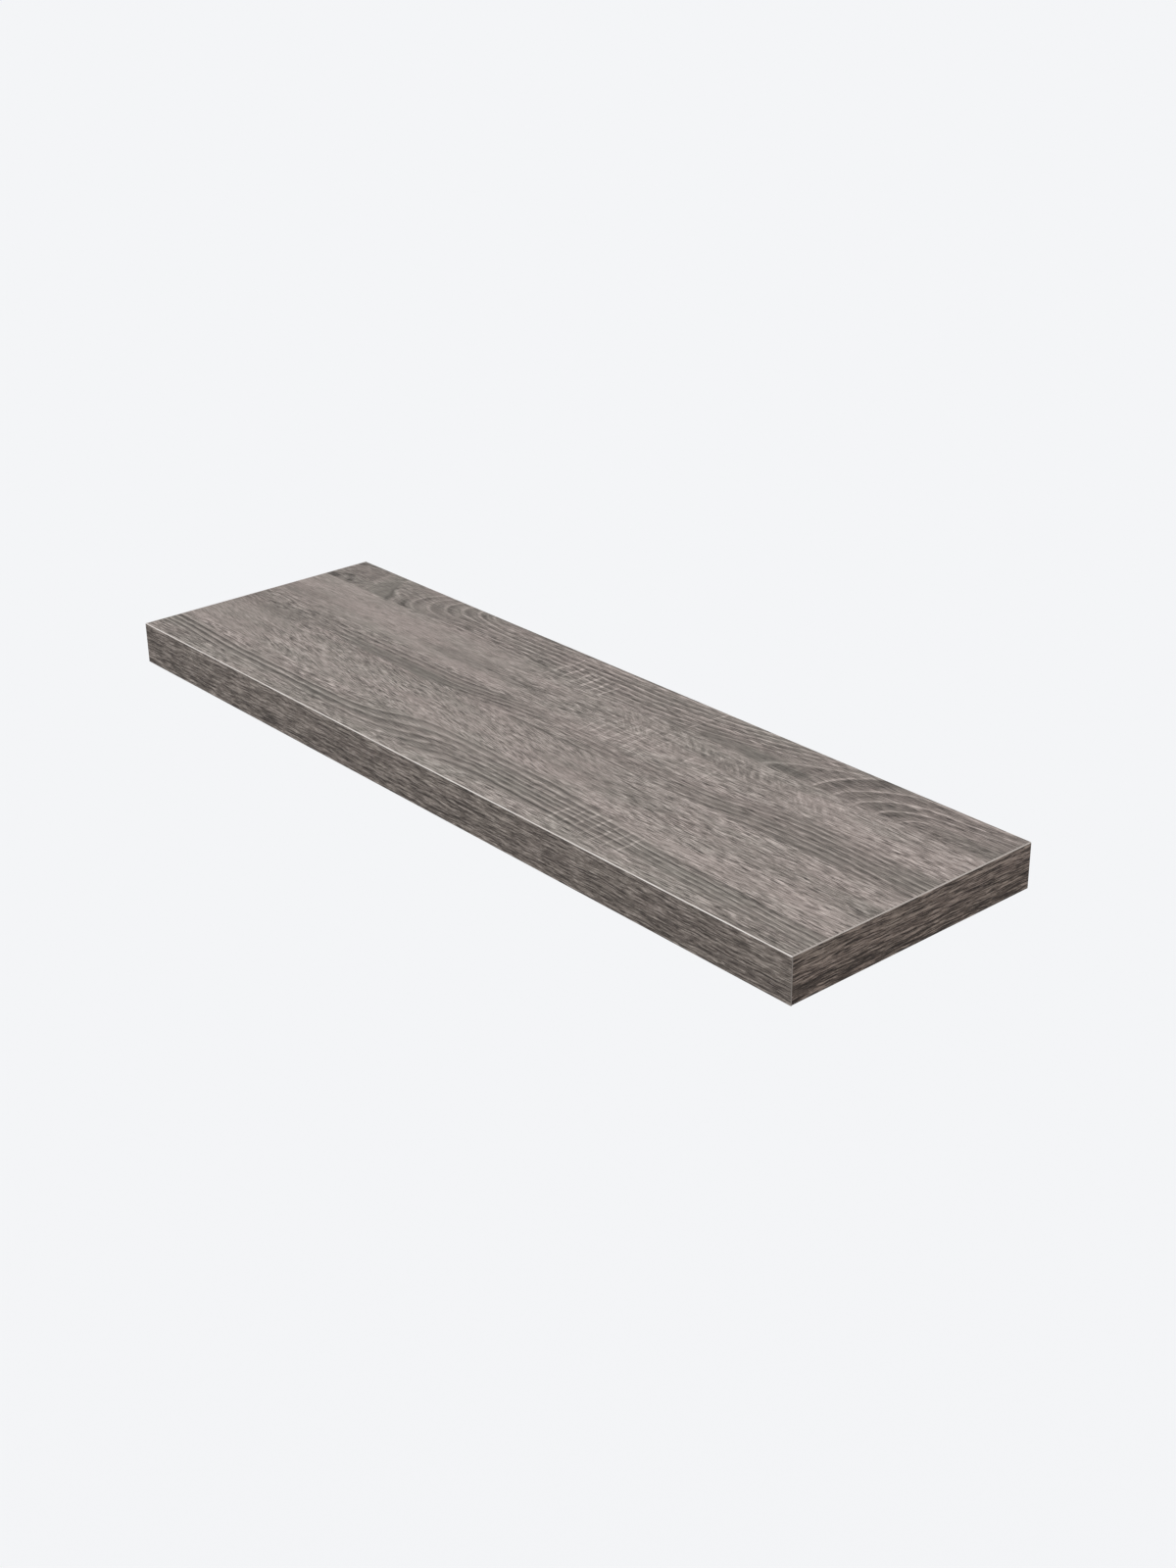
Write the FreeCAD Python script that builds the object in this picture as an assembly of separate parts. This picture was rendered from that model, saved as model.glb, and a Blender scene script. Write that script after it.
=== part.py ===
"""Floating wall shelf: a hollow-core board that slides onto a hidden steel bracket.

Millimetres, +Z up. The wall is the plane Y = 0 and the board stands out from it towards -Y.
X runs along the board. The origin is the centre of the bracket bar's back face, at half the
board's thickness, where the rods' axes lie too.
"""
import FreeCAD
import Part
import math
import os

Vector = FreeCAD.Vector
ALONG_X = Vector(1, 0, 0)
ALONG_Y = Vector(0, 1, 0)
ALONG_Z = Vector(0, 0, 1)
OUT_OF_WALL = Vector(0, -1, 0)

# Board, and how far its back edge stands off the wall
shelf_length = 800.0
shelf_depth = 240.0
shelf_thickness = 37.0
wall_gap = 0.5

# Faces and edges of the board
foil_thickness = 0.3
skin_thickness = 2.7
band_thickness = 1.0
band_bevel = 0.7
largest_bevel_share = 0.8

# Frame inside the board
front_rail_width = 40.0
back_rail_width = 40.0
end_rail_width = 40.0
rod_block_width = 45.0

# Paper honeycomb
cell_across_flats = 22.0
cell_wall = 0.6
smallest_cell_share = 0.05

# Bracket bar, with room for the heads of the wall screws in front of it
bar_thickness = 4.0
bar_end_gap = 9.0
bar_edge_gap = 3.5
bar_corner_radius = 3.0
wall_hole_diameter = 6.5
outer_hole_inset = 25.0
inner_hole_share = 0.5
screw_head_room = 8.5

# Rods, set in from the ends of the bar, and their bores
rod_diameter = 12.0
rod_inset = 100.0
rod_tip_chamfer = 1.5
weld_leg = 3.5
weld_bulge_share = 0.62
bore_clearance = 0.1
bore_lead_in = 1.5
bore_tip_gap = 6.0
bore_end_cover = 40.0

# Set screws and their inserts
screw_diameter = 5.0
screw_tip_gap = 0.3
screw_tip_chamfer = 1.0
screw_end_chamfer = 0.4
screw_recess = 2.2
socket_across_flats = 2.5
socket_depth = 2.5
thread_clearance = 0.05
access_clearance = 1.0
insert_wall = 1.6
insert_cover = 1.4
insert_flange_width = 1.4
insert_flange_thickness = 1.0

# Cuts run this far past what they cut
overrun = 1.0

# Heights, from the middle of the board
half_thickness = shelf_thickness / 2
skin_outside = half_thickness - foil_thickness
half_core = skin_outside - skin_thickness
half_bar_height = half_core - bar_edge_gap

# Places along Y, from the wall outwards
back_y = -wall_gap
front_y = back_y - shelf_depth
band_back_y = front_y + band_thickness
front_rail_y = band_back_y + front_rail_width
back_rail_y = -bar_thickness - screw_head_room
bay_back_y = back_rail_y - back_rail_width
screw_y = (back_rail_y + bay_back_y) / 2
bore_end_y = front_rail_y + bore_end_cover
rod_tip_y = bore_end_y + bore_tip_gap

# Places along X, from the middle outwards
half_length = shelf_length / 2
board_end_x = half_length - band_thickness
inner_end_x = board_end_x - end_rail_width
bar_end_x = inner_end_x - bar_end_gap
outer_rod_x = bar_end_x - rod_inset
outer_hole_x = bar_end_x - outer_hole_inset
inner_hole_x = outer_rod_x * inner_hole_share

# Radii
rod_radius = rod_diameter / 2
bore_radius = rod_radius + bore_clearance
screw_radius = screw_diameter / 2
insert_bore_radius = screw_radius + thread_clearance
insert_radius = screw_radius + insert_wall
flange_radius = insert_radius + insert_flange_width
access_radius = screw_radius + access_clearance

# The set screws, from the rod down to just inside the underside
screw_top_z = -rod_radius - screw_tip_gap
screw_bottom_z = -half_thickness + screw_recess
insert_top_z = -bore_radius - insert_cover

SIDES = {"left": -1, "middle": 0, "right": 1}
SCREWED_SIDES = ("left", "right")


def rod_x(side):
    return SIDES[side] * outer_rod_x


def block(x_low, x_high, y_low, y_high, z_low, z_high):
    """A box between two corners."""
    corner = Vector(x_low, y_low, z_low)
    return Part.makeBox(x_high - x_low, y_high - y_low, z_high - z_low, corner)


def core_block(x_low, x_high, y_low, y_high):
    """A box as high as the space between the skins."""
    return block(x_low, x_high, y_low, y_high, -half_core, half_core)


def outward_cylinder(x, radius, y_from, y_to):
    """A cylinder along Y, from the wall's side outwards."""
    return Part.makeCylinder(radius, y_from - y_to, Vector(x, y_from, 0), OUT_OF_WALL)


def upright_cylinder(side, radius, z_low, z_high):
    """A cylinder on the axis of a set screw."""
    return Part.makeCylinder(radius, z_high - z_low, Vector(rod_x(side), screw_y, z_low))


def flat_face(points):
    return Part.Face(Part.makePolygon(points + points[:1]))


def turned(foot, along, across, outline):
    """A round piece: an outline of radii and heights above its foot, turned about its axis."""
    points = [foot + across * radius + along * height for radius, height in outline]
    return flat_face(points).revolve(foot, along, 360)


# Board

def sheet(z_low, z_high):
    """A layer of the board, inside the edge bands."""
    return block(-board_end_x, board_end_x, band_back_y, back_y, z_low, z_high)


def with_access_holes(layer):
    """A layer of the underside with a key hole below each set screw."""
    holes = [
        upright_cylinder(side, access_radius, -half_thickness - overrun, -half_core + overrun)
        for side in SCREWED_SIDES
    ]
    return layer.cut(holes)


def band_profile():
    """A band's section: how far out, and how high, with both outer edges bevelled."""
    bevel = min(band_bevel, largest_bevel_share * band_thickness)
    shoulder = half_thickness - bevel
    bevel_start = band_thickness - bevel
    return [
        (0, -half_thickness),
        (bevel_start, -half_thickness),
        (band_thickness, -shoulder),
        (band_thickness, shoulder),
        (bevel_start, half_thickness),
        (0, half_thickness),
    ]


def front_edge_band():
    points = [Vector(-half_length, band_back_y - out, z) for out, z in band_profile()]
    return flat_face(points).extrude(ALONG_X * shelf_length)


def end_edge_band(direction):
    points = [
        Vector(direction * (board_end_x + out), band_back_y, z) for out, z in band_profile()
    ]
    return flat_face(points).extrude(ALONG_Y * (back_y - band_back_y))


def end_rail(direction):
    ends = sorted((direction * inner_end_x, direction * board_end_x))
    return core_block(*ends, band_back_y, back_y)


def front_rail():
    return core_block(-inner_end_x, inner_end_x, band_back_y, front_rail_y)


def rod_bore(side):
    """The bore for a rod, with a lead-in at the face of the back rail."""
    x = rod_x(side)
    bore = outward_cylinder(x, bore_radius, back_rail_y + overrun, bore_end_y)
    mouth = Part.makeCone(
        bore_radius + bore_lead_in,
        bore_radius,
        bore_lead_in,
        Vector(x, back_rail_y, 0),
        OUT_OF_WALL,
    )
    return bore.fuse(mouth)


def insert_seat(side):
    """The hole for an insert and its flange, and on up to the rod's bore for the screw."""
    seat = upright_cylinder(side, insert_radius, -half_core - overrun, insert_top_z)
    flange_top = -half_core + insert_flange_thickness
    flange = upright_cylinder(side, flange_radius, -half_core - overrun, flange_top)
    screw_hole = upright_cylinder(side, access_radius, -half_core - overrun, 0)
    return [seat, flange, screw_hole]


def back_rail():
    rail = core_block(-inner_end_x, inner_end_x, bay_back_y, back_rail_y)
    cuts = [rod_bore(side) for side in SIDES]
    for side in SCREWED_SIDES:
        cuts += insert_seat(side)
    return rail.cut(cuts)


def rod_block(side):
    x = rod_x(side)
    half_width = rod_block_width / 2
    body = core_block(x - half_width, x + half_width, front_rail_y, bay_back_y)
    return body.cut(rod_bore(side))


def hexagon(x, y, across_flats):
    """A flat hexagon with two sides along Y."""
    corner_radius = across_flats / math.sqrt(3)
    angles = [math.radians(30 + 60 * corner) for corner in range(6)]
    points = [
        Vector(x + corner_radius * math.cos(a), y + corner_radius * math.sin(a), 0) for a in angles
    ]
    return flat_face(points)


def flat_rectangle(x_low, x_high, y_low, y_high):
    corner = Vector(x_low, y_low, 0)
    return Part.makePlane(x_high - x_low, y_high - y_low, corner, ALONG_Z)


def honeycomb(x_low, x_high):
    """Paper honeycomb that fills a bay of the frame, with part cells along its edges."""
    inside = flat_rectangle(
        x_low + cell_wall, x_high - cell_wall, front_rail_y + cell_wall, bay_back_y - cell_wall
    )
    pitch = cell_across_flats + cell_wall
    row_step = pitch * math.sqrt(3) / 2
    smallest_area = smallest_cell_share * hexagon(0, 0, cell_across_flats).Area
    columns = math.ceil((x_high - x_low) / pitch) + 1
    rows = math.ceil((bay_back_y - front_rail_y) / row_step) + 1
    cells = []
    for row in range(rows):
        for column in range(columns):
            x = x_low + (column + row % 2 / 2) * pitch
            cell = hexagon(x, front_rail_y + row * row_step, cell_across_flats).common(inside)
            if cell.Area > smallest_area:
                cells.append(cell)
    paper = flat_rectangle(x_low, x_high, front_rail_y, bay_back_y).cut(cells)
    core = paper.Faces[0].extrude(ALONG_Z * (2 * half_core))
    core.translate(ALONG_Z * -half_core)
    return core


def honeycomb_bays():
    """Each bay's name with its two ends along X."""
    half_width = rod_block_width / 2
    return {
        "left_outer": (-inner_end_x, rod_x("left") - half_width),
        "left_inner": (rod_x("left") + half_width, -half_width),
        "right_inner": (half_width, rod_x("right") - half_width),
        "right_outer": (rod_x("right") + half_width, inner_end_x),
    }


def threaded_insert(side):
    height = insert_top_z + half_core
    outline = [
        (insert_bore_radius, 0),
        (flange_radius, 0),
        (flange_radius, insert_flange_thickness),
        (insert_radius, insert_flange_thickness),
        (insert_radius, height),
        (insert_bore_radius, height),
    ]
    return turned(Vector(rod_x(side), screw_y, -half_core), ALONG_Z, ALONG_X, outline)


# Set screws

def set_screw(side):
    length = screw_top_z - screw_bottom_z
    outline = [
        (0, 0),
        (screw_radius - screw_end_chamfer, 0),
        (screw_radius, screw_end_chamfer),
        (screw_radius, length - screw_tip_chamfer),
        (screw_radius - screw_tip_chamfer, length),
        (0, length),
    ]
    body = turned(Vector(rod_x(side), screw_y, screw_bottom_z), ALONG_Z, ALONG_X, outline)
    socket = hexagon(rod_x(side), screw_y, socket_across_flats).extrude(
        ALONG_Z * (socket_depth + overrun)
    )
    socket.translate(ALONG_Z * (screw_bottom_z - overrun))
    return body.cut(socket)


# Bracket

def bracket_bar():
    bar = block(
        -bar_end_x, bar_end_x, -bar_thickness, 0, -half_bar_height, half_bar_height
    )
    corners = [edge for edge in bar.Edges if abs(edge.tangentAt(0).dot(ALONG_Y)) > 0.5]
    bar = bar.makeFillet(bar_corner_radius, corners)
    holes = [
        outward_cylinder(x, wall_hole_diameter / 2, overrun, -bar_thickness - overrun)
        for x in (-outer_hole_x, -inner_hole_x, inner_hole_x, outer_hole_x)
    ]
    return bar.cut(holes)


def rod(side):
    length = -bar_thickness - rod_tip_y
    outline = [
        (0, 0),
        (rod_radius, 0),
        (rod_radius, length - rod_tip_chamfer),
        (rod_radius - rod_tip_chamfer, length),
        (0, length),
    ]
    return turned(Vector(rod_x(side), -bar_thickness, 0), OUT_OF_WALL, ALONG_X, outline)


def rod_weld(side):
    """A bead round the foot of a rod, a little full between its two toes."""
    x = rod_x(side)
    foot = Vector(x + rod_radius, -bar_thickness, 0)
    bar_toe = foot + ALONG_X * weld_leg
    rod_toe = foot + OUT_OF_WALL * weld_leg
    middle = foot + (ALONG_X + OUT_OF_WALL) * (weld_leg * weld_bulge_share)
    outline = Part.Wire([
        Part.LineSegment(foot, bar_toe).toShape(),
        Part.Arc(bar_toe, middle, rod_toe).toShape(),
        Part.LineSegment(rod_toe, foot).toShape(),
    ])
    return Part.Face(outline).revolve(Vector(x, 0, 0), OUT_OF_WALL, 360)


def pieces():
    """Every piece of the shelf by name."""
    made = {
        "top_foil": sheet(skin_outside, half_thickness),
        "top_skin": sheet(half_core, skin_outside),
        "bottom_skin": with_access_holes(sheet(-skin_outside, -half_core)),
        "bottom_foil": with_access_holes(sheet(-half_thickness, -skin_outside)),
        "front_edge_band": front_edge_band(),
        "left_edge_band": end_edge_band(-1),
        "right_edge_band": end_edge_band(1),
        "front_rail": front_rail(),
        "back_rail": back_rail(),
        "left_end_rail": end_rail(-1),
        "right_end_rail": end_rail(1),
        "bracket_bar": bracket_bar(),
    }
    for name, ends in honeycomb_bays().items():
        made[f"{name}_honeycomb"] = honeycomb(*ends)
    for side in SIDES:
        made[f"{side}_rod_block"] = rod_block(side)
        made[f"{side}_rod"] = rod(side)
        made[f"{side}_rod_weld"] = rod_weld(side)
    for side in SCREWED_SIDES:
        made[f"{side}_threaded_insert"] = threaded_insert(side)
        made[f"{side}_set_screw"] = set_screw(side)
    return made


os.makedirs("parts", exist_ok=True)
for name, shape in pieces().items():
    shape.exportStep(f"parts/{name}.step")
    print(name, len(shape.Solids), "solid", round(shape.Volume, 1), "mm3", shape.isValid())
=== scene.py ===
"""Looks of the floating wall shelf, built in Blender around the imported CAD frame."""

import math

import bmesh
import bpy
from mathutils import Matrix, Vector


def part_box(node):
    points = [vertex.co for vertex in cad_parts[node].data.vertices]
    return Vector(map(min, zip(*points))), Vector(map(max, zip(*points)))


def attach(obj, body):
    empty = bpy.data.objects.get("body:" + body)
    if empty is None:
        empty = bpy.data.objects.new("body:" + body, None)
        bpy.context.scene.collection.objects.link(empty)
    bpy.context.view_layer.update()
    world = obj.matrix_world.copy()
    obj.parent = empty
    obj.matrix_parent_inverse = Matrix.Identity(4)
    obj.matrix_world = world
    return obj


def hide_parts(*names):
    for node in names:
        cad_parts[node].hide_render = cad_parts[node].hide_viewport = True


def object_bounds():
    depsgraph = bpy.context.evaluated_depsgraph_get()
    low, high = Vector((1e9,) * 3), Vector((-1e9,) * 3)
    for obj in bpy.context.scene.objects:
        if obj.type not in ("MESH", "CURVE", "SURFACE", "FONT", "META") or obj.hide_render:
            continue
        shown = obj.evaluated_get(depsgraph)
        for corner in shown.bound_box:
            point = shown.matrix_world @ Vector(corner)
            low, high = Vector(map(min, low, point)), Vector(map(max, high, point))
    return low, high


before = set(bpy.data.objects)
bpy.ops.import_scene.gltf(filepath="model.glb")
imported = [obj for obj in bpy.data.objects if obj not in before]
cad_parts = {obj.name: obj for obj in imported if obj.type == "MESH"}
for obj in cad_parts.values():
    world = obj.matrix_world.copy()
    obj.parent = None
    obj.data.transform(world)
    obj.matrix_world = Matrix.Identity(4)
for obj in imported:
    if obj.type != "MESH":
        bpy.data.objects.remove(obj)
cad_low, cad_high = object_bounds()

# Sizes read from the frame, in metres
MM = 0.001
foil_low, foil_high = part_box("top_foil")
board_left, board_right = cad_low.x, cad_high.x
board_back = foil_high.y
board_front = cad_low.y
board_length = (board_right - board_left) / MM
board_depth = (board_back - board_front) / MM

# Sizes of the dressing, in millimetres
band_bevel = 0.5
weld_swell = 0.25
weld_ripples = 24
weld_ripple_height = 0.35
weld_lap = 0.8
weld_rings = 8
weld_sides = 192

# Light and camera
light_level = 1.0
sky_share = 0.42
sun_share = light_level - sky_share
sun_from = Vector((-0.14, -0.28, 0.95)).normalized()
sun_softness = math.radians(24)
floor_drop = 1.85
floor_width = 160.0
floor_bounce = 0.40
camera_lens = 50.0
camera_azimuth = math.radians(49.412)
camera_elevation = math.radians(25.366)
camera_roll = math.radians(-0.762)
camera_distance = 1.7417
camera_target = Vector((0.0, -0.1205, 0.0))
camera_aside = 0.0409
camera_above = -0.0344
studio_white = (244, 245, 247)

# Steps between the seeds of the noises, so that no two patterns are alike
noise_seed_step = 7.3
chance_seed_step = 37.0


def srgb(red, green, blue):
    """A colour written in levels of 0 to 255, as the linear colour that Blender's sockets take."""
    def linear(level):
        share = level / 255
        return share / 12.92 if share <= 0.04045 else ((share + 0.055) / 1.055) ** 2.4
    return linear(red), linear(green), linear(blue), 1.0


class Term:
    """A number or colour that a material's nodes work out. Sums and products of terms add nodes."""

    def __init__(self, tree, socket):
        self.tree = tree
        self.socket = socket

    def __add__(self, other):
        return maths("ADD", self, other)

    def __sub__(self, other):
        return maths("SUBTRACT", self, other)

    def __rsub__(self, other):
        return maths("SUBTRACT", other, self)

    def __mul__(self, other):
        return maths("MULTIPLY", self, other)

    def __truediv__(self, other):
        return maths("DIVIDE", self, other)

    __radd__ = __add__
    __rmul__ = __mul__


def feed(port, value):
    """Sets a node's input to a term, or to a plain number, colour or vector."""
    if isinstance(value, Term):
        value.tree.links.new(value.socket, port)
    else:
        port.default_value = value


def maths(operation, *values):
    """One step of arithmetic on terms and numbers."""
    tree = next(value.tree for value in values if isinstance(value, Term))
    node = tree.nodes.new("ShaderNodeMath")
    node.operation = operation
    for port, value in zip(node.inputs, values):
        feed(port, value)
    return Term(tree, node.outputs[0])


def length_of(across, down):
    """The length of a slanted line from its two sides."""
    return maths("SQRT", across * across + down * down)


def above_zero(value, softness):
    """The value where it is above zero, and zero elsewhere, with a soft turn between them."""
    return maths("SMOOTH_MAX", value, 0.0, softness)


def rise(value, start, end):
    """0 at start and 1 at end, with a smooth slope between them."""
    node = value.tree.nodes.new("ShaderNodeMapRange")
    node.interpolation_type = "SMOOTHSTEP"
    for name, given in (("Value", value), ("From Min", start), ("From Max", end)):
        feed(node.inputs[name], given)
    return Term(value.tree, node.outputs["Result"])


def strip(value, low, high, soft):
    """1 between low and high, and 0 outside, with soft edges."""
    return rise(value, low - soft, low + soft) * rise(value, high + soft, high - soft)


def mixed(first, second, share):
    """first where share is 0, second where it is 1."""
    return first + (second - first) * share


def noise(along, across, seed, detail=2.0, roughness=0.5):
    """Noise about 0.5 whose patches are one unit of each argument long and wide."""
    tree = along.tree
    place = tree.nodes.new("ShaderNodeCombineXYZ")
    feed(place.inputs[0], along)
    feed(place.inputs[1], across)
    place.inputs[2].default_value = noise_seed_step * seed
    node = tree.nodes.new("ShaderNodeTexNoise")
    for name, given in (("Scale", 1.0), ("Detail", detail), ("Roughness", roughness)):
        node.inputs[name].default_value = given
    tree.links.new(place.outputs[0], node.inputs["Vector"])
    return Term(tree, node.outputs[0])


def chance(number, seed):
    """A share of 0 to 1, as good as random, for each whole number."""
    node = number.tree.nodes.new("ShaderNodeTexWhiteNoise")
    node.noise_dimensions = "1D"
    feed(node.inputs["W"], number + chance_seed_step * seed)
    return Term(number.tree, node.outputs["Value"])


def ramp(value, low, high, colours):
    """The colours, evenly spaced over values from low to high."""
    tree = value.tree
    node = tree.nodes.new("ShaderNodeValToRGB")
    stops = node.color_ramp.elements
    while len(stops) < len(colours):
        stops.new(0.5)
    for number, colour in enumerate(colours):
        stops[number].position = number / (len(colours) - 1)
        stops[number].color = colour
    feed(node.inputs[0], (value - low) / (high - low))
    return Term(tree, node.outputs["Color"])


def tinted(colour, share, first, second):
    """The colour multiplied by a tint that goes from first to second with share."""
    tree = colour.tree
    tint = tree.nodes.new("ShaderNodeMix")
    tint.data_type = "RGBA"
    feed(tint.inputs[0], share)
    tint.inputs[6].default_value = first
    tint.inputs[7].default_value = second
    product = tree.nodes.new("ShaderNodeMix")
    product.data_type = "RGBA"
    product.blend_type = "MULTIPLY"
    product.inputs[0].default_value = 1.0
    feed(product.inputs[6], colour)
    tree.links.new(tint.outputs[2], product.inputs[7])
    return Term(tree, product.outputs[2])


def new_material(name):
    """A material with a Principled shader, and the place on the surface in millimetres."""
    material = bpy.data.materials.new(name)
    material.use_nodes = True
    tree = material.node_tree
    shader = tree.nodes["Principled BSDF"]
    place = tree.nodes.new("ShaderNodeTexCoord")
    parts = tree.nodes.new("ShaderNodeSeparateXYZ")
    tree.links.new(place.outputs["Object"], parts.inputs[0])
    x, y, z = (Term(tree, socket) * (1 / MM) for socket in parts.outputs)
    return material, shader, (x, y, z)


def set_surface(shader, colour, roughness, relief=None, depth=0.2, metallic=0.0, specular=0.25):
    """Fills the shader's sockets. relief is the height of the surface, and depth its size in mm."""
    feed(shader.inputs["Base Color"], colour)
    feed(shader.inputs["Roughness"], roughness)
    feed(shader.inputs["Metallic"], metallic)
    feed(shader.inputs["Specular IOR Level"], specular)
    if relief is not None:
        bump = relief.tree.nodes.new("ShaderNodeBump")
        bump.inputs["Strength"].default_value = 1.0
        bump.inputs["Distance"].default_value = depth * MM
        feed(bump.inputs["Height"], relief)
        relief.tree.links.new(bump.outputs[0], shader.inputs["Normal"])


# Printed oak decor. Tones are levels of 0 to 255 of the red in the colour, places are in millimetres.
decor_low, decor_high = 60.0, 200.0
decor_colours = [srgb(60, 54, 51), srgb(95, 88, 84), srgb(130, 122, 117),
                 srgb(165, 156, 151), srgb(200, 191, 186)]
decor_roughness, roughness_by_tone = 0.5, 0.0014
board_tint = ((0.965, 1.0, 0.965, 1.0), (1.025, 0.985, 0.975, 1.0))
front_tint = ((0.97, 0.95, 0.90, 1.0), (1.0, 0.955, 0.925, 1.0))
end_tint = ((0.90, 0.80, 0.71, 1.0), (0.93, 0.80, 0.73, 1.0))
joint_back, joint_front = 46.0, 131.0
back_tone, middle_tone, front_tone = 126.0, 141.0, 140.0
underside_shift = 0.85

# How much paler and darker than the wood each kind of line is, in levels
hook_lines, arc_lines = (23.0, 15.0), (26.0, 19.0)
streak_lines, hump_lines = (18.0, 25.0), (28.0, 40.0)
fleck_lines, vein_lines = (22.0, 19.0), (18.0, 21.0)
strand_lines, leaning_lines = (46.0, 52.0), (36.0, 50.0)
band_veins, band_fibres, band_ticks = (26.0, 23.0), (56.0, 56.0), (36.0, 30.0)
streak_gain, patch_gain, pore_gain, saw_gain = 34.0, 20.0, 24.0, 40.0
band_patch_gain, band_pore_gain = 7.0, 50.0


def marked(lines, levels):
    """What pale and dark lines add to the tone, each in its own levels."""
    pale, dark = lines
    return pale * levels[0] - dark * levels[1]


def growth_rings(field, line, seed):
    """Pale lines, a line's share of each ring wide, and the dark wood that fades after each of them."""
    ring = maths("FLOOR", field)
    offset = field - ring
    luck = chance(ring, seed) * 0.7 + 0.55
    pale = rise(offset, 0.0, line * 0.35) * rise(offset, line * 1.2, line * 0.6)
    dark = rise(offset, line * 0.8, line * 1.3) * rise(offset, 1.0, 0.45)
    return pale * luck, dark * luck


def uneven(line, u, pitch, seed):
    """Counts the rings across the lines, about a pitch apart and none as wide as the next."""
    return line * (1 / pitch) + (noise(line * (1 / (3 * pitch)), u * (1 / 700), seed) - 0.5) * 1.8


def fibres(along, across, seed, apart=0.03):
    """Thin pale and dark fibres, as the cut pores of oak leave them, sparser the further apart."""
    level = noise(along, across, seed, detail=2.0, roughness=0.6) - 0.5
    return rise(level, apart, apart + 0.05), rise(level, -apart, -apart - 0.05)


def veins(along, across, seed, width=0.06):
    """Thin lines that run along the wood and meet in long loops."""
    level = noise(along, across, seed, detail=1.0)
    return rise(maths("ABSOLUTE", level - 0.5), width, width * 0.35)


def spot(u, v, middle, size):
    """1 in the middle of an oval spot, and 0 outside it."""
    return rise(length_of((u - middle[0]) * (1 / size[0]), (v - middle[1]) * (1 / size[1])), 1.2, 0.6)


def saw_marks(u, v, first, last, top, bottom, pitch, wander):
    """Pale lines across the grain, pitch apart, from first to last along the board."""
    offset = maths("FRACT", (u - first) * (1 / pitch) + 0.5 + wander * 0.9)
    distance = maths("ABSOLUTE", offset - 0.5) * pitch
    span = strip(u, first - 0.5 * pitch, last + 0.5 * pitch, 1.0)
    return rise(distance, 2.2, 0.3) * span * strip(v + wander * 30.0, top, bottom, 4.0)


def left_end(u, w, tone, reach):
    """Tone and greenness left of the hooks: knots, a smooth leaf with a dark rim, and plain wood."""
    beyond = rise(reach, 49.5, 52.0) * rise(u, 150.0, 130.0)
    sway = noise(u * (1 / 30), w * (1 / 12), 15) - 0.5
    leaf_place = (u - 55.0 - w * 0.56 + sway * 14.0) / (w * 0.15 + 11.0)
    leaf = rise(leaf_place, -1.4, 0.2) * rise(leaf_place, 1.1, 0.9) * (rise(w, 2.0, 26.0) * 0.7 + 0.3)
    rim = strip(leaf_place, 0.75, 1.1, 0.2) * rise(w, 4.0, 36.0)
    vein = strip(leaf_place, -1.3, -1.0, 0.25) + strip(leaf_place, 1.35, 1.5, 0.2)
    swirl = rise(leaf_place, -1.05, -1.4)
    stripes = noise(u * (1 / 26), (w + u * 0.35) * (1 / 5), 14) - 0.5
    knots = maths("MAXIMUM", spot(u, w, (24.0, 33.0), (5.0, 4.0)), spot(u, w, (32.0, 40.0), (4.0, 4.0)))
    knots = maths("MAXIMUM", knots, spot(u, w, (7.0, 42.0), (9.0, 5.0)))
    plain = back_tone - leaf * 9.0 - rim * 26.0 + vein * 9.0
    plain = plain + (stripes * 90.0 - 8.0) * swirl - knots * 30.0
    crack = strip(reach, 49.0, 52.0, 0.8) * strip(u, 110.0, 146.0, 6.0) * rise(w, 22.0, 30.0)
    return mixed(tone, plain, beyond) - crack * 38.0, (leaf + rim) * beyond


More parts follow.
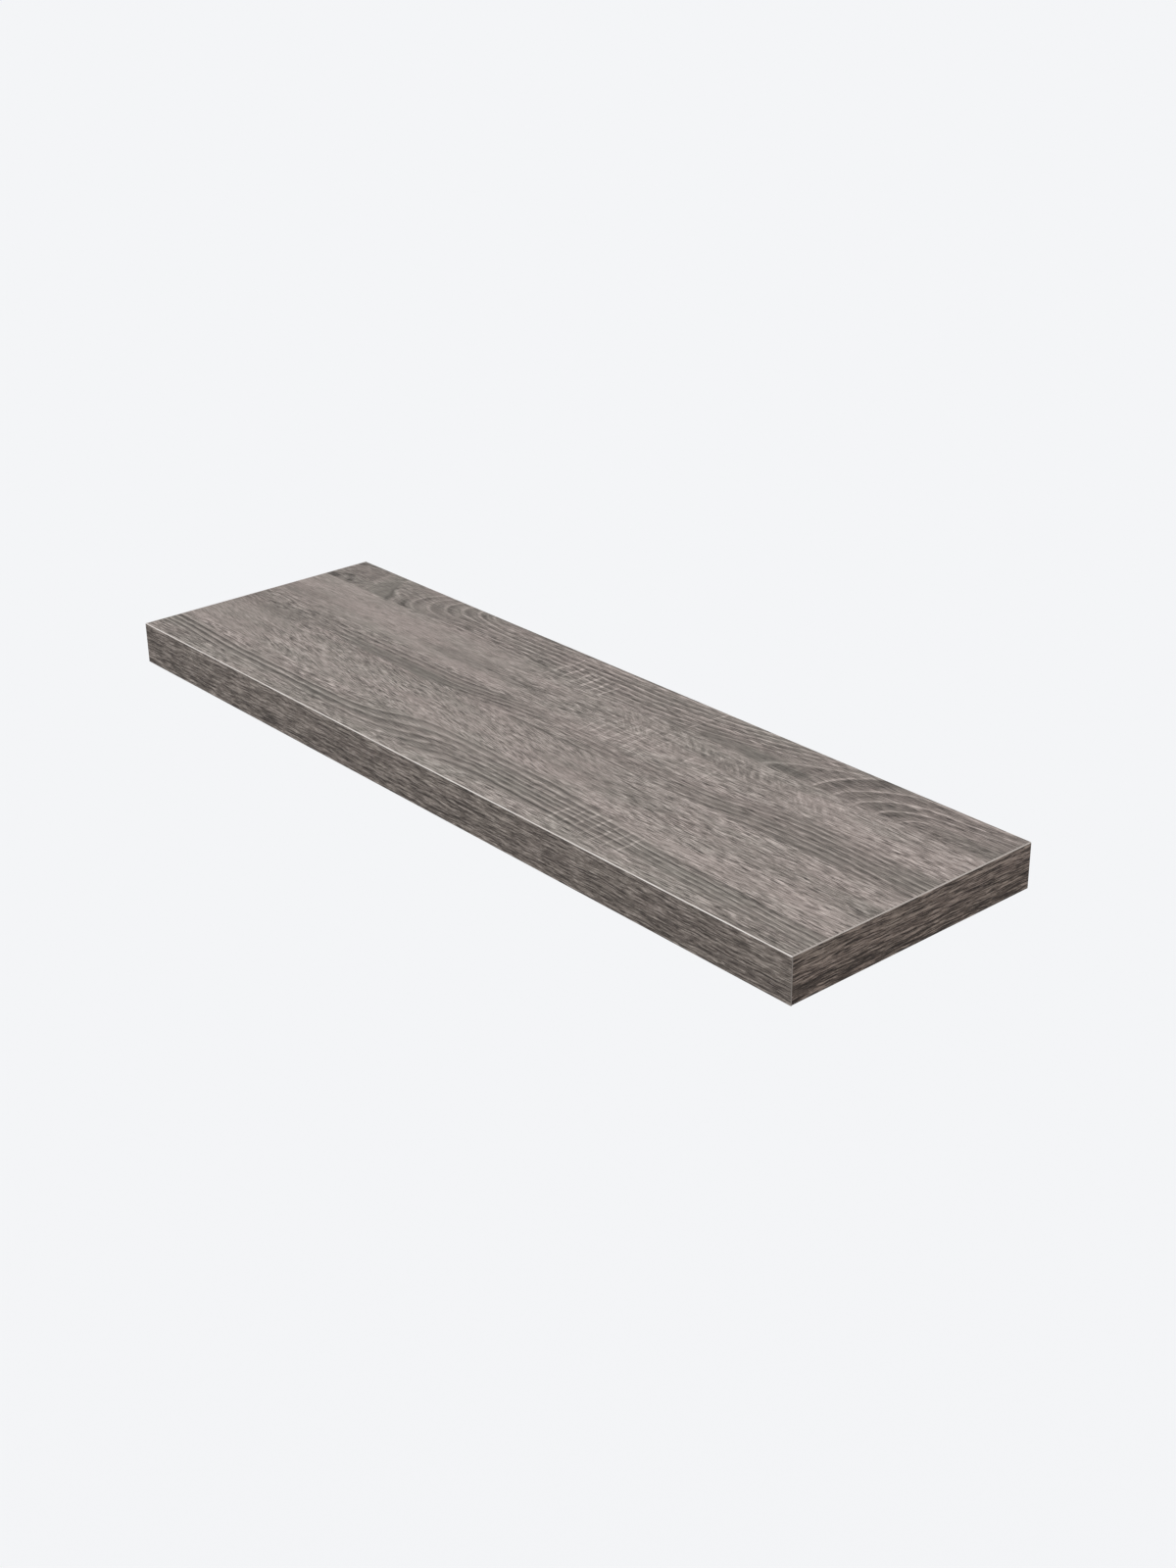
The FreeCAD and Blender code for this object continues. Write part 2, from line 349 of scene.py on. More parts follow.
def back_plank(u, w):
    """Tone, greenness, grain and lines of the back plank: hooks on its left, a fan on its right."""
    climb = above_zero(u - 420.0, 10.0)
    axis = maths("SMOOTH_MAX", 66.0 - u * 0.355, -4.0, 8.0)
    reach = length_of(w - axis + climb * climb * 0.0009, above_zero(233.0 - u, 20.0) * 0.4)
    down = joint_back - w
    flatter = rise(u, 690.0, 780.0) * down * 0.000019
    fan = (u - 609.0) / (down * down * (flatter + 0.00055) + 1.0)
    bend = u - 578.0 - maths("POWER", above_zero(down, 1.0) * (1 / 20.6), 1.6) * 22.0
    right = rise(bend, 0.0, 6.0)

    hooks = marked(growth_rings((21.5 - reach) * (1 / 6.5), 0.26, 1), hook_lines)
    hooks = hooks * rise(reach, 50.5, 48.5) * (rise(u, 180.0, 330.0) * 0.5 + 1.0)
    arcs = marked(growth_rings((fan - 21.0) * (1 / 21.25), 0.17, 2), arc_lines)
    arcs = arcs * strip(fan, 15.0, 112.0, 4.0)
    edge = strip(bend, -1.0, 3.5, 1.5) * rise(w, 0.0, 8.0)
    shade = rise(bend, 3.0, 8.0) * rise(bend, 50.0, 10.0) * rise(w, 2.0, 14.0)
    wedge = strip(u, 505.0, 640.0, 16.0) * rise(w - (u - 500.0) * 0.1, 20.0, 28.0) * (1.0 - right)
    lens = spot(u, w, (602.0, 40.0), (22.0, 5.5)) * right
    heart = rise(fan, 110.0, 120.0) * rise(w, 24.0, 32.0)
    tone = back_tone + mixed(hooks, arcs + 3.0, right) + edge * 27.0 - shade * 15.0
    tone = tone - wedge * 10.0 - lens * 15.0 - heart * 11.0
    tone = tone + rise(w, 15.0, 7.0) * (strip(u, 300.0, 590.0, 30.0) + rise(u, 690.0, 740.0)) * 8.0
    tone, green = left_end(u, w, tone, reach)
    green = green + (wedge + lens) * 0.45 + heart * 0.2
    return tone, green, mixed(reach, fan * 0.35, right), rise(u, 90.0, 130.0) * 0.7


def middle_plank(u, v, w):
    """The same for the middle plank: calm wood, then a dark streak that climbs in two steps."""
    line = w + rise(u, 280.0, 400.0) * 13.0 + rise(u, 570.0, 680.0) * 13.0 - rise(u, 720.0, 800.0) * 4.0
    streak = rise(line - rise(u, 290.0, 390.0) * 11.0 + rise(u, 600.0, 700.0) * 5.0, 103.0, 113.0)
    streak = streak * (rise(u, 40.0, 160.0) * 0.35 + 0.65 - strip(u, 400.0, 580.0, 40.0) * 0.3)
    rings = marked(growth_rings(uneven(line, u, 6.4, 16), 0.34, 3), streak_lines)
    lined = streak * (rise(u, 80.0, 160.0) * 0.8 + 0.2) + 0.08
    shade = strip(v, 72.0, 88.0, 7.0) * strip(u, 205.0, 420.0, 30.0) * 1.5
    shade = shade + strip(v, 82.0, 96.0, 6.0) * rise(u, 70.0, 40.0)
    shade = shade + rise(v, 62.0, 50.0) * strip(u, 205.0, 320.0, 40.0) * 0.7
    shade = shade - strip(v, 52.0, 92.0, 8.0) * rise(u, 590.0, 690.0) * 0.6
    shade = shade + strip(v, 104.0, 128.0, 6.0) * strip(u, 210.0, 370.0, 30.0) * 0.5
    lens = spot(u, line, (222.0, 128.0), (78.0, 8.0))
    ends = rise(v, 66.0, 84.0) * rise(u, 130.0, 60.0) * 7.0
    ends = ends + strip(v, 60.0, 76.0, 6.0) * strip(u, 410.0, 620.0, 30.0) * 9.0
    tone = middle_tone - streak * 15.0 - shade * 10.0 - ends + rings * lined * (1.0 - lens * 0.6)
    return tone - lens * 10.0, lens * 0.8, line, lined


def front_plank(u, v, w):
    """The same for the front plank: broken grain, then lines that sag, climb to a hump and sink."""
    late = u - (v - 195.0) * 2.5
    line = w - rise(u, 0.0, 110.0) * 5.0 + rise(late, 215.0, 400.0) * 23.0 - rise(u, 420.0, 800.0) * 11.0
    growth = rise(line - rise(u, 470.0, 640.0) * 12.0, 195.0, 203.0) * rise(v, 227.0, 221.0)
    growth = growth * (1.0 - rise(u, 560.0, 760.0) * 0.2)
    rings = marked(growth_rings(uneven(line, u, 5.8, 17), 0.36, 4), hump_lines)
    shadow = rise(v, 152.0, 136.0) * rise(u, 440.0, 200.0)
    shadow = shadow + strip(v, 150.0, 168.0, 8.0) * rise(u, 400.0, 480.0) * 0.8
    rail = rise(u, 90.0, 60.0) * 14.0 + strip(u, 170.0, 280.0, 30.0) * 7.0
    rail = rail - strip(u, 390.0, 540.0, 20.0) * 4.0 + rise(u, 660.0, 780.0) * 14.0
    rail = rail * rise(v, 220.0, 226.0)
    rail = rail + strip(v, 212.0, 224.0, 3.0) * strip(u, 560.0, 630.0, 15.0) * 8.0
    gain = 1.05 - strip(u, 290.0, 470.0, 40.0) * 0.35
    light = strip(v, 170.0, 200.0, 7.0) * rise(u, 250.0, 340.0) * 6.0
    light = light - rise(v, 152.0, 140.0) * rise(u, 120.0, 60.0) * 11.0
    behind = rise(u, 470.0, 540.0) * 6.0 - strip(u, 300.0, 400.0, 30.0) * 5.0
    light = light + rise(v, 156.0, 144.0) * behind
    hollow = rise(u, 130.0, 60.0) + strip(u, 310.0, 590.0, 20.0)
    light = light - strip(v, 203.0, 222.0, 3.0) * hollow * 6.0
    crest = strip(u, 480.0, 640.0, 20.0) + rise(u, 710.0, 740.0)
    light = light + strip(v, 194.0, 208.0, 3.0) * crest * 5.0
    tone = front_tone - growth * 11.0 - shadow * 8.0 - rail + light
    tone = tone + rings * (growth * gain + 0.06)
    return tone, growth * 0.2, line, growth


def ray_flecks(u, v):
    """Groups of pale and dark flecks aslant on the middle plank, and where they lie."""
    along = u - 450.0
    slant = (v - along * 0.42 - along * along * 0.0014) / (along * 0.01 + 2.8)
    flecks = marked(fibres((u + v) * (1 / 20), slant, 10), fleck_lines)
    group = rise(noise(u * (1 / 24), (v - along * 0.15) * (1 / 9), 11), 0.38, 0.62)
    group = group * strip(u, 430.0, 690.0, 30.0) * strip(v, joint_back + 4.0, 80.0, 12.0)
    return flecks * group, group


def oak_planks(u, v):
    """Tone, tint and relief of the printed oak, at u along the board and v from its back edge."""
    slow = noise(u * (1 / 150), v * (1 / 34), 1) - 0.5
    ripple = noise(u * (1 / 30), v * (1 / 9), 2) - 0.5
    w = v + slow * 5.0 + ripple * 1.4
    seam = strip(u, 150.0, 285.0, 12.0) * 3.0 + joint_front - rise(u, 600.0, 690.0) * 2.5
    blur = rise(u, 600.0, 700.0) * 3.0 + 0.4
    in_middle = rise(w, joint_back - blur, blur + joint_back)
    in_front = rise(v - seam, -0.4, 0.4)
    planks = [back_plank(u, w), middle_plank(u, v, w), front_plank(u, v, w)]
    tone, green, across, lined = (mixed(mixed(*pair, in_middle), last, in_front)
                                  for *pair, last in zip(*planks))

    # Fibres along the grain, slow streaks, patches and fine pores
    calm = 1.0 - strip(v, joint_back, 102.0, 6.0) * rise(u, 420.0, 230.0) * 0.7
    calm = calm * (1.0 - rise(v, 48.0, 44.0) * rise(u, 220.0, 140.0) * 0.4)
    calm = calm * (1.0 - rise(v, 126.0, 136.0) * rise(v, 198.0, 188.0) * rise(u, 130.0, 70.0) * 0.5)
    busy = rise(noise(u * (1 / 80), v * (1 / 14), 4), 0.3, 0.65) * 0.8 + 0.4
    leaning = in_front * rise(v, 196.0, 182.0) * rise(u, 560.0, 440.0)
    pale = veins(u * (1 / 26), across * (1 / 3.7), 5)
    dark = veins(u * (1 / 30), across * (1 / 3.3), 18)
    fine = marked((pale, dark), vein_lines) * busy * calm * (1.0 - lined * 0.5) * (1.0 - leaning * 0.4)
    straight = fibres(u * (1 / 13), (w + slow * 2.0) * (1 / 0.9), 6, apart=0.05)
    aslant = fibres(u * (1 / 11), (w + slow * 2.0 - u * 0.17) * (1 / 0.9), 19, apart=0.05)
    strands = mixed(marked(straight, strand_lines), marked(aslant, leaning_lines), leaning)
    strands = strands * (calm * 0.9 + 0.1) * (busy * 0.5 + 0.45)
    flecks, group = ray_flecks(u, v)
    fine = fine + strands * (1.0 - lined * 0.3)
    fine = fine * (1.0 - group * 0.6) + flecks
    streaks = noise(u * (1 / 150), across * (1 / 6.5), 7) - 0.5
    patches = noise(u * (1 / 70), v * (1 / 20), 8) - 0.5
    pores = noise(u * (1 / 5), v * (1 / 0.6), 9) - 0.5
    soft = 1.0 - green * 0.6
    tone = tone + (fine + streaks * streak_gain + patches * patch_gain + pores * pore_gain) * soft

    # Marks of the saw
    wander = noise(u * (1 / 24), v * (1 / 30), 12) - 0.5
    sawn = saw_marks(u, v, 332.0, 332.0, 4.0, 60.0, 12.0, wander)
    for first, last, top, bottom, pitch, gain in (
        (494.0, 494.0, -9.0, 45.0, 12.0, 1.0),
        (345.0, 396.0, 22.0, 48.0, 12.3, 1.25),
        (436.0, 500.0, 62.0, 106.0, 9.6, 0.65),
        (538.0, 566.0, 76.0, 100.0, 14.0, 0.65),
        (540.0, 612.0, 195.0, 226.0, 12.0, 0.85),
    ):
        sawn = maths("MAXIMUM", sawn, saw_marks(u, v, first, last, top, bottom, pitch, wander) * gain)
    tone = tone + sawn * saw_gain * rise(noise(u * (1 / 7), v * (1 / 6), 13), 0.3, 0.6)

    # Warmer and cooler parts
    warm = strip(v, 56.0, 90.0, 10.0) * (rise(u, 340.0, 240.0) + rise(u, 580.0, 660.0)) * 0.2
    warm = warm + strip(v, 172.0, 202.0, 10.0) * (rise(u, 120.0, 70.0) + rise(u, 690.0, 740.0)) * 0.17
    warm = warm + rise(v, 50.0, 40.0) * (rise(u, 690.0, 730.0) * 0.13 - rise(u, 110.0, 70.0) * 0.1)
    warm = warm + rise(u, 700.0, 760.0) * (rise(v, 110.0, 100.0) + rise(v, 194.0, 200.0)) * 0.14
    warm = warm - rise(v, 203.0, 215.0) * 0.25
    tint = 0.55 - (green + (120.0 - tone) * 0.006) * 0.7 + patches * 1.6 + warm
    return tone, tint, fine * 0.02 + pores * 0.4


def oak_strip(along, across, base, shade_fall, vein_gain, fibre_gain):
    """Tone, tint and relief of the oak on an edge band, with painted shade that darkens it from its top
    to its bottom.
    """
    slow = noise(along * (1 / 90), across * (1 / 18), 21) - 0.5
    ripple = noise(along * (1 / 15), across * (1 / 14), 22) - 0.5
    w = across + slow * 4.0 + ripple * 2.2
    busy = rise(noise(along * (1 / 50), w * (1 / 9), 23), 0.3, 0.62) * 0.8 + 0.4
    pale = veins(along * (1 / 30), w * (1 / 1.9), 24, width=0.05)
    dark = veins(along * (1 / 36), w * (1 / 2.2), 28)
    fine = marked((pale, dark), band_veins) * busy * vein_gain
    strands = marked(fibres(along * (1 / 16), w * (1 / 0.9), 25, apart=0.045), band_fibres)
    fine = fine + strands * fibre_gain
    fine = fine + marked(fibres(along * (1 / 8), w * (1 / 1.15), 29, apart=0.09), band_ticks)
    patches = noise(along * (1 / 60), across * (1 / 13), 26) - 0.5
    pores = noise(along * (1 / 6), across * (1 / 0.65), 27) - 0.5
    # Painted shade: the tone falls towards the bottom of the band.
    shade_towards_bottom = rise(across + slow * 8.0, 9.0, -14.0)
    tone = base + fine + patches * band_patch_gain + pores * band_pore_gain - shade_fall * shade_towards_bottom
    return tone, 0.5 + patches * 2.0, fine * 0.02 + pores * 0.4


def decor(name, figure, along, across, tint):
    """A printed decor. figure gives its tone, tint and relief at the two distances."""
    material, shader, place = new_material(name)
    tone, hue, relief = figure(along(*place), across(*place))
    colour = tinted(ramp(tone, decor_low, decor_high, decor_colours), hue, *tint)
    rough = (decor_high - tone) * roughness_by_tone + decor_roughness
    set_surface(shader, colour, rough, relief, depth=0.12)
    return material


def front_strip(along, across):
    """The oak of the front band, with light painted shade towards the bottom."""
    return oak_strip(along, across, base=128.0, shade_fall=9.0, vein_gain=0.5, fibre_gain=0.85)


def end_strip(along, across):
    """The oak of the two end bands, with deeper painted shade towards the bottom."""
    return oak_strip(along, across, base=144.0, shade_fall=42.0, vein_gain=1.0, fibre_gain=1.45)


# The underside's print is shifted along the board, and x sets the print of one end off from the other's.
left_mm, back_mm = board_left / MM, board_back / MM
top_oak = decor("top_oak", oak_planks, lambda x, y, z: x - left_mm,
                lambda x, y, z: back_mm - y, board_tint)
bottom_oak = decor("bottom_oak", oak_planks, lambda x, y, z: x + underside_shift * board_length,
                   lambda x, y, z: board_depth - back_mm + y, board_tint)
front_oak = decor("front_oak", front_strip, lambda x, y, z: x, lambda x, y, z: z, front_tint)
end_oak = decor("end_oak", end_strip, lambda x, y, z: y + x * 3.0, lambda x, y, z: z, end_tint)


def band_core_material(name, dark, middle, pale):
    """Pale plastic of the edge bands, bare where the bands were cut or scraped."""
    material, shader, (x, y, z) = new_material(name)
    marks = noise((x + y) * (1 / 18), (z - y) * (1 / 0.4), 31)
    fine = noise((x + y) * (1 / 1.2), z * (1 / 0.3), 32)
    colour = ramp(marks * 0.7 + fine * 0.3, 0.25, 0.75, [dark, middle, pale])
    set_surface(shader, colour, fine * 0.2 + 0.4, marks, depth=0.05)
    return material


def particle_board_material():
    """Pressed chips, with fine dust between them."""
    material, shader, (x, y, z) = new_material("particle_board")
    tree = x.tree
    wobble = noise(x * (1 / 5), y * (1 / 5) + z * 0.3, 41) * 3.0
    place = tree.nodes.new("ShaderNodeCombineXYZ")
    chip_place = (x + wobble) * 0.36, (y + wobble) * 0.45, (z + wobble * 0.4) * 1.1
    for port, value in zip(place.inputs, chip_place):
        feed(port, value)
    chips = tree.nodes.new("ShaderNodeTexVoronoi")
    chips.inputs["Scale"].default_value = 1.0
    tree.links.new(place.outputs[0], chips.inputs["Vector"])
    depth = Term(tree, chips.outputs["Distance"])
    kind = tree.nodes.new("ShaderNodeSeparateColor")
    tree.links.new(chips.outputs["Color"], kind.inputs[0])
    kind = Term(tree, kind.outputs[0])
    dust = noise((x + y * 0.7) * (1 / 0.8), (z + y * 0.6) * (1 / 0.5), 42, detail=3.0)
    colour = ramp(kind * 0.6 + dust * 0.6 - depth * 0.25, 0.0, 1.0,
                  [srgb(122, 94, 64), srgb(176, 144, 104), srgb(204, 176, 136), srgb(226, 206, 172)])
    set_surface(shader, colour, dust * 0.2 + 0.72, depth * 0.6 + dust * 0.4, depth=0.35, specular=0.2)
    return material


def fibreboard_material():
    """Dense brown fibreboard, with fibres and soft clouds."""
    material, shader, (x, y, z) = new_material("fibreboard")
    fibre = noise((x + y * 0.5) * (1 / 2.2), (y + z * 3.0) * (1 / 0.7), 51, detail=4.0, roughness=0.65)
    cloud = noise(x * (1 / 30), y * (1 / 30) + z * 0.2, 52)
    colour = ramp(fibre * 0.7 + cloud * 0.3, 0.25, 0.75,
                  [srgb(104, 74, 47), srgb(142, 106, 71), srgb(172, 136, 97)])
    set_surface(shader, colour, fibre * 0.2 + 0.7, fibre, depth=0.2, specular=0.2)
    return material


def paper_material():
    """Brown kraft paper of the honeycomb."""
    material, shader, (x, y, z) = new_material("honeycomb_paper")
    fibre = noise((x + y) * (1 / 1.5), (z + x * 0.4) * (1 / 1.1), 61, detail=4.0, roughness=0.7)
    flutes = maths("SINE", z * 2.2 + fibre * 3.0) * 0.5 + 0.5
    colour = ramp(fibre * 0.8 + flutes * 0.2, 0.25, 0.8,
                  [srgb(130, 98, 62), srgb(171, 134, 92), srgb(196, 162, 120)])
    set_surface(shader, colour, fibre * 0.15 + 0.75, fibre + flutes * 0.3, depth=0.12, specular=0.2)
    return material


def powder_coat_material():
    """Black powder coat, with the fine orange peel that it cures to."""
    material, shader, (x, y, z) = new_material("powder_coat")
    peel = noise((x + y * 0.6) * (1 / 0.9), (z + y * 0.8) * (1 / 0.9), 71, detail=1.0)
    dust = noise((x + y) * (1 / 14), z * (1 / 8), 72, detail=4.0)
    colour = ramp(dust * 0.7 + peel * 0.3, 0.3, 0.75,
                  [srgb(22, 22, 24), srgb(34, 34, 36), srgb(52, 51, 51)])
    set_surface(shader, colour, dust * 0.25 + 0.32, peel, depth=0.12, specular=0.5)
    return material


def metal_material(name, dark, pale, roughness):
    """Turned metal: fine rings round the upright axis, and a little tarnish."""
    material, shader, (x, y, z) = new_material(name)
    rings = noise(z * (1 / 0.12), x * 0.02, 81, detail=1.0)
    tarnish = noise((x + y) * (1 / 2.5), (z + y) * (1 / 2.0), 82, detail=4.0)
    colour = ramp(tarnish * 0.75 + rings * 0.25, 0.3, 0.7, [dark, pale])
    set_surface(shader, colour, tarnish * 0.3 + roughness, rings, depth=0.04, metallic=1.0, specular=0.5)
    return material


# The scraped core is pale plastic, made paler on the front bevel as painted highlight and darker on the
# end bevels as painted shade.
front_scraped_and_painted_highlight = band_core_material("front_scraped_and_painted_highlight", srgb(206, 198, 192),
                                   srgb(230, 224, 220), srgb(246, 242, 239))
end_scraped_and_painted_shade = band_core_material("end_scraped_and_painted_shade", srgb(168, 159, 152),
                                 srgb(200, 192, 186), srgb(222, 215, 210))
band_cut = band_core_material("band_cut", srgb(150, 141, 134),
                              srgb(170, 161, 155), srgb(186, 178, 172))
particle_board = particle_board_material()
fibreboard = fibreboard_material()
honeycomb_paper = paper_material()
powder_coat = powder_coat_material()
screw_steel = metal_material("screw_steel", srgb(120, 118, 112), srgb(188, 187, 182), 0.2)
insert_brass = metal_material("insert_brass", srgb(140, 104, 48), srgb(205, 170, 98), 0.18)


def dress(material, *endings):
    """Gives the material to each CAD node whose name ends with one of the endings."""
    for name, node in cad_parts.items():
        if name.endswith(endings):
            for socket in node.material_slots:
                socket.link = "OBJECT"
                socket.material = material


dress(fibreboard, "_skin")
dress(particle_board, "_rail", "_block")
dress(honeycomb_paper, "_honeycomb")
dress(powder_coat, "bracket_bar", "_rod", "_weld")
dress(screw_steel, "_set_screw")
dress(insert_brass, "_threaded_insert")
dress(top_oak, "top_foil")
dress(bottom_oak, "bottom_foil")


def new_piece(name, shape, materials, body, slot, *nodes):
    """A piece made from a bmesh, which rides on a body and stands for CAD nodes."""
    mesh = bpy.data.meshes.new(name)
    shape.to_mesh(mesh)
    shape.free()
    for material in materials:
        mesh.materials.append(material)
    piece = bpy.data.objects.new(name, mesh)
    bpy.context.scene.collection.objects.link(piece)
    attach(piece, body)
    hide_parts(*nodes)


def spread_map(shape, printed, width_axis, height_axis):
    """Lays the printed face over nearly the whole picture, and the cut edges in its margin."""
    layer = shape.loops.layers.uv.new("OFBake")
    margin, edge, lane_share = 0.05, 0.01, 0.8
    axes = width_axis, height_axis
    low = [min(vert.co[axis] for vert in shape.verts) for axis in axes]
    high = [max(vert.co[axis] for vert in shape.verts) for axis in axes]
    size = [most - least for most, least in zip(high, low)]
    cut = [face for face in shape.faces if not printed(face)]
    for face in shape.faces:
        if printed(face):
            for loop in face.loops:
                across = (loop.vert.co[width_axis] - low[0]) / size[0]
                down = (loop.vert.co[height_axis] - low[1]) / size[1]
                loop[layer].uv = (edge + (1 - 2 * edge) * across, margin + (1 - margin - edge) * down)
    lane = (margin - 2 * edge) / max(1, len(cut))
    for number, face in enumerate(cut):
        flat = face.normal.to_track_quat("Z", "Y").to_matrix().inverted()
        corners = [flat @ loop.vert.co for loop in face.loops]
        wide = max(corner.x for corner in corners) - min(corner.x for corner in corners)
        tall = max(corner.y for corner in corners) - min(corner.y for corner in corners)
        if wide < tall:
            corners = [Vector((corner.y, corner.x, 0)) for corner in corners]
            wide, tall = tall, wide
        left = min(corner.x for corner in corners)
        bottom = min(corner.y for corner in corners)
        for loop, corner in zip(face.loops, corners):
            loop[layer].uv = (edge + (1 - 2 * edge) * (corner.x - left) / wide,
                              edge + lane * (number + lane_share * (corner.y - bottom) / tall))


def foil_sheet(name, low, high, material, node):
    """One decor foil as a thin sheet whose printed face has the map to itself."""
    shape = bmesh.new()
    bmesh.ops.create_cube(shape, size=1.0)
    middle = (low + high) / 2
    for vert in shape.verts:
        vert.co = middle + Vector(a * b for a, b in zip(vert.co, high - low))
    shape.normal_update()
    spread_map(shape, lambda face: face.normal.z > 0.5, 0, 1)
    new_piece(name, shape, [material], "board", "decor_foil", node)


def band_profile(thickness, height):
    """Outline of an edge band: flat inside, printed outside, scraped aslant at the outer edges."""
    bevel = band_bevel * MM
    upper = [(0.0, height / 2), (thickness - bevel, height / 2), (thickness, height / 2 - bevel)]
    return upper + [(out, -up) for out, up in reversed(upper)]


def edge_band(name, node, inner, outward, run_axis, printed, scraped):
    """One edge band along run_axis, from its inner face outward."""
    low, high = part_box(node)
    thickness = abs((high - low).dot(outward))
    shape = bmesh.new()
    ends = []
    for place in (low[run_axis], high[run_axis]):
        ring = []
        for out, up in band_profile(thickness, high.z - low.z):
            corner = inner + outward * out + Vector((0.0, 0.0, up))
            corner[run_axis] = place
            ring.append(shape.verts.new(corner))
        ends.append(ring)
    count = len(ends[0])
    for number in range(count):
        after = (number + 1) % count
        shape.faces.new((ends[0][number], ends[0][after], ends[1][after], ends[1][number]))
    for ring in ends:
        shape.faces.new(ring)
    bmesh.ops.recalc_face_normals(shape, faces=shape.faces)
    shape.normal_update()
    for face in shape.faces:
        if face.normal.dot(outward) < 0.5:
            face.material_index = 2
        elif face.normal.dot(outward) < 0.99:
            face.material_index = 1
    spread_map(shape, lambda face: face.material_index == 0, run_axis, 2)
    new_piece(name, shape, [printed, scraped, band_cut], "board", "edge_band", node)


foil_sheet("top_decor", foil_low, foil_high, top_oak, "top_foil")
low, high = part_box("front_edge_band")
edge_band("front_band", "front_edge_band", Vector((0.0, high.y, 0.0)),
          Vector((0.0, -1.0, 0.0)), 0, front_oak, front_scraped_and_painted_highlight)
for side, outward in (("left", -1.0), ("right", 1.0)):
    low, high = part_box(side + "_edge_band")
    inner = high.x if side == "left" else low.x
    edge_band(side + "_band", side + "_edge_band", Vector((inner, 0.0, 0.0)),
              Vector((outward, 0.0, 0.0)), 1, end_oak, end_scraped_and_painted_shade)


def weld_bead(name, node):
    """The bead round the root of a rod: crescents laid one over the other, from the bar up the rod."""
    low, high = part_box(node)
    rod_low, rod_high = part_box(node.replace("_weld", ""))
    middle = (low + high) / 2
    outer, inner = (high.x - low.x) / 2, (rod_high.x - rod_low.x) / 2
    aslant = math.sqrt(0.5)
    shape = bmesh.new()
    rings = []
    for step in range(weld_rings + 1):
        share = step / weld_rings
        ring = []
        for side in range(weld_sides):
            turn = side / weld_sides
            crescent = (turn * weld_ripples + weld_lap * (2 * share - 1) ** 2) % 1.0
            height = weld_swell + weld_ripple_height * (1 - crescent) ** 2
            swell = math.sin(math.pi * share) * height * MM
            out = min(outer + (inner - outer) * share + swell * aslant, outer)
            along = max(high.y + (low.y - high.y) * share - swell * aslant, low.y)
            angle = 2 * math.pi * turn
            place = (middle.x + out * math.cos(angle), along, middle.z + out * math.sin(angle))
            ring.append(shape.verts.new(place))
        rings.append(ring)
    root = []
    for vert in rings[0]:
        place = (middle.x + (vert.co.x - middle.x) * inner / outer, high.y,
                 middle.z + (vert.co.z - middle.z) * inner / outer)
        root.append(shape.verts.new(place))
    rings.append(root)
    for first, second in zip(rings, rings[1:] + rings[:1]):
        for side in range(weld_sides):
            after = (side + 1) % weld_sides
            shape.faces.new((first[side], first[after], second[after], second[side]))
    bmesh.ops.recalc_face_normals(shape, faces=shape.faces)
    for face in shape.faces:
        face.smooth = True
    new_piece(name, shape, [powder_coat], "bracket", "coated_steel", node)


for side in ("left", "middle", "right"):
    weld_bead(side + "_weld_bead", side + "_rod_weld")


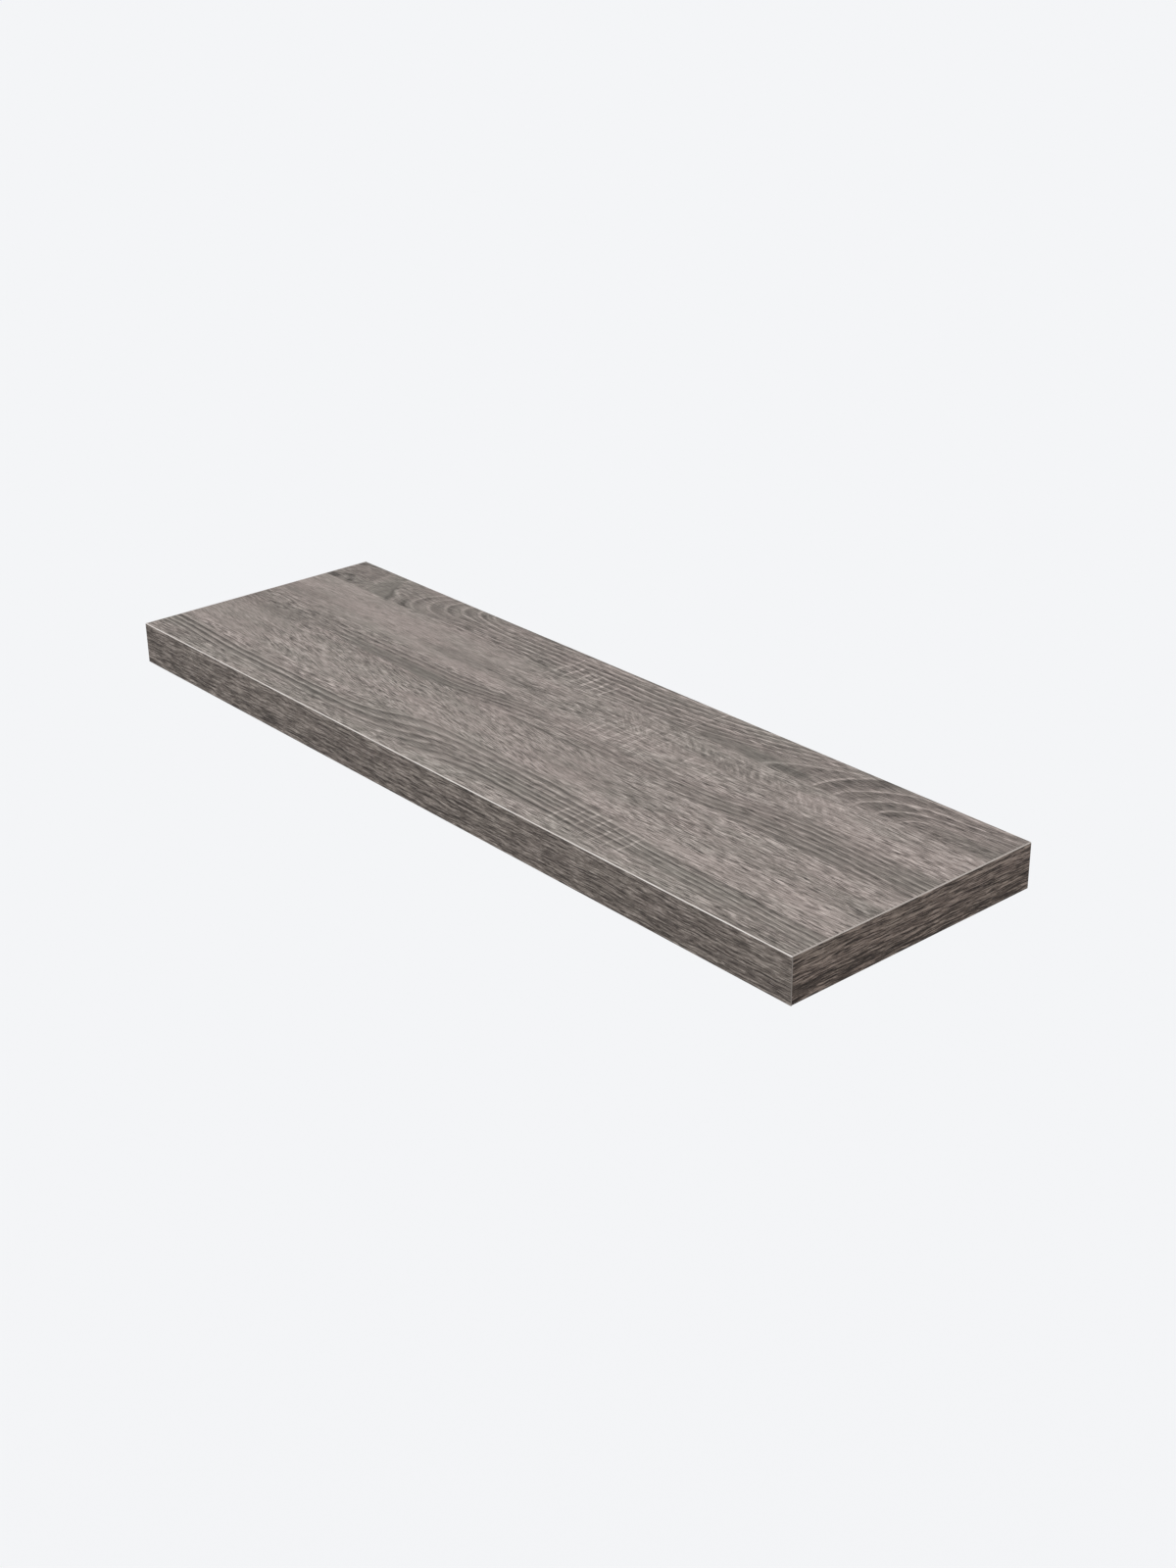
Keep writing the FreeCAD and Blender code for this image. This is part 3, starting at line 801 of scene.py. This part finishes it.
def light_scene():
    """A soft sun from the front left above, an even sky, and a pale floor far below the shelf."""
    sun = bpy.data.lights.new("sun", "SUN")
    sun.energy = math.pi * sun_share / sun_from.z
    sun.angle = sun_softness
    lamp = bpy.data.objects.new("sun", sun)
    lamp.rotation_mode = "QUATERNION"
    lamp.rotation_quaternion = sun_from.to_track_quat("Z", "Y")
    bpy.context.scene.collection.objects.link(lamp)

    pale = srgb(*studio_white)
    world = bpy.data.worlds.new("studio")
    bpy.context.scene.world = world
    world.use_nodes = True
    tree = world.node_tree
    backdrop = tree.nodes["Background"]
    backdrop.inputs["Strength"].default_value = 1.0
    seen = seen_rays(tree)
    tree.links.new(shown_colour(tree, seen, (sky_share, sky_share, sky_share, 1.0), pale),
                   backdrop.inputs["Color"])

    shape = bmesh.new()
    bmesh.ops.create_grid(shape, x_segments=1, y_segments=1, size=floor_width / 2)
    mesh = bpy.data.meshes.new("floor")
    shape.to_mesh(mesh)
    shape.free()
    floor = bpy.data.objects.new("floor", mesh)
    floor.location.z = -floor_drop
    bpy.context.scene.collection.objects.link(floor)
    material = bpy.data.materials.new("floor")
    material.use_nodes = True
    tree = material.node_tree
    shader = tree.nodes["Principled BSDF"]
    shader.inputs["Roughness"].default_value = 1.0
    shader.inputs["Specular IOR Level"].default_value = 0.0
    seen = seen_rays(tree)
    tree.links.new(shown_colour(tree, seen, (floor_bounce, floor_bounce, floor_bounce, 1.0), pale),
                   shader.inputs["Base Color"])
    mesh.materials.append(material)


def seen_rays(tree):
    """1 for rays that show the surface to the camera, straight, mirrored or through glass."""
    path = tree.nodes.new("ShaderNodeLightPath")
    kinds = "Is Camera Ray", "Is Glossy Ray", "Is Transmission Ray"
    straight, mirrored, through = (Term(tree, path.outputs[kind]) for kind in kinds)
    return maths("MINIMUM", straight + mirrored + through, 1.0)


def shown_colour(tree, seen, lit, shown):
    """The socket of a colour that is lit for light that spreads, and shown for rays that are seen."""
    node = tree.nodes.new("ShaderNodeMix")
    node.data_type = "RGBA"
    feed(node.inputs[0], seen)
    node.inputs[6].default_value = lit
    node.inputs[7].default_value = shown
    return node.outputs[2]


def place_camera():
    """The camera at the photograph's angle."""
    level = math.cos(camera_elevation)
    back = Vector((math.sin(camera_azimuth) * level, -math.cos(camera_azimuth) * level,
                   math.sin(camera_elevation)))
    aside = (-back).cross(Vector((0.0, 0.0, 1.0))).normalized()
    above = aside.cross(-back)
    right = aside * math.cos(camera_roll) + above * math.sin(camera_roll)
    up = above * math.cos(camera_roll) - aside * math.sin(camera_roll)
    eye = camera_target + back * camera_distance + right * camera_aside + up * camera_above
    camera = bpy.data.cameras.new("camera")
    camera.lens = camera_lens
    camera.clip_end = floor_width
    stand = bpy.data.objects.new("camera", camera)
    turn = Matrix((right, up, back)).transposed()
    stand.matrix_world = Matrix.Translation(eye) @ turn.to_4x4()
    bpy.context.scene.collection.objects.link(stand)
    bpy.context.scene.camera = stand


light_scene()
place_camera()
bpy.context.scene.view_settings.view_transform = "Standard"

bpy.context.view_layer.update()
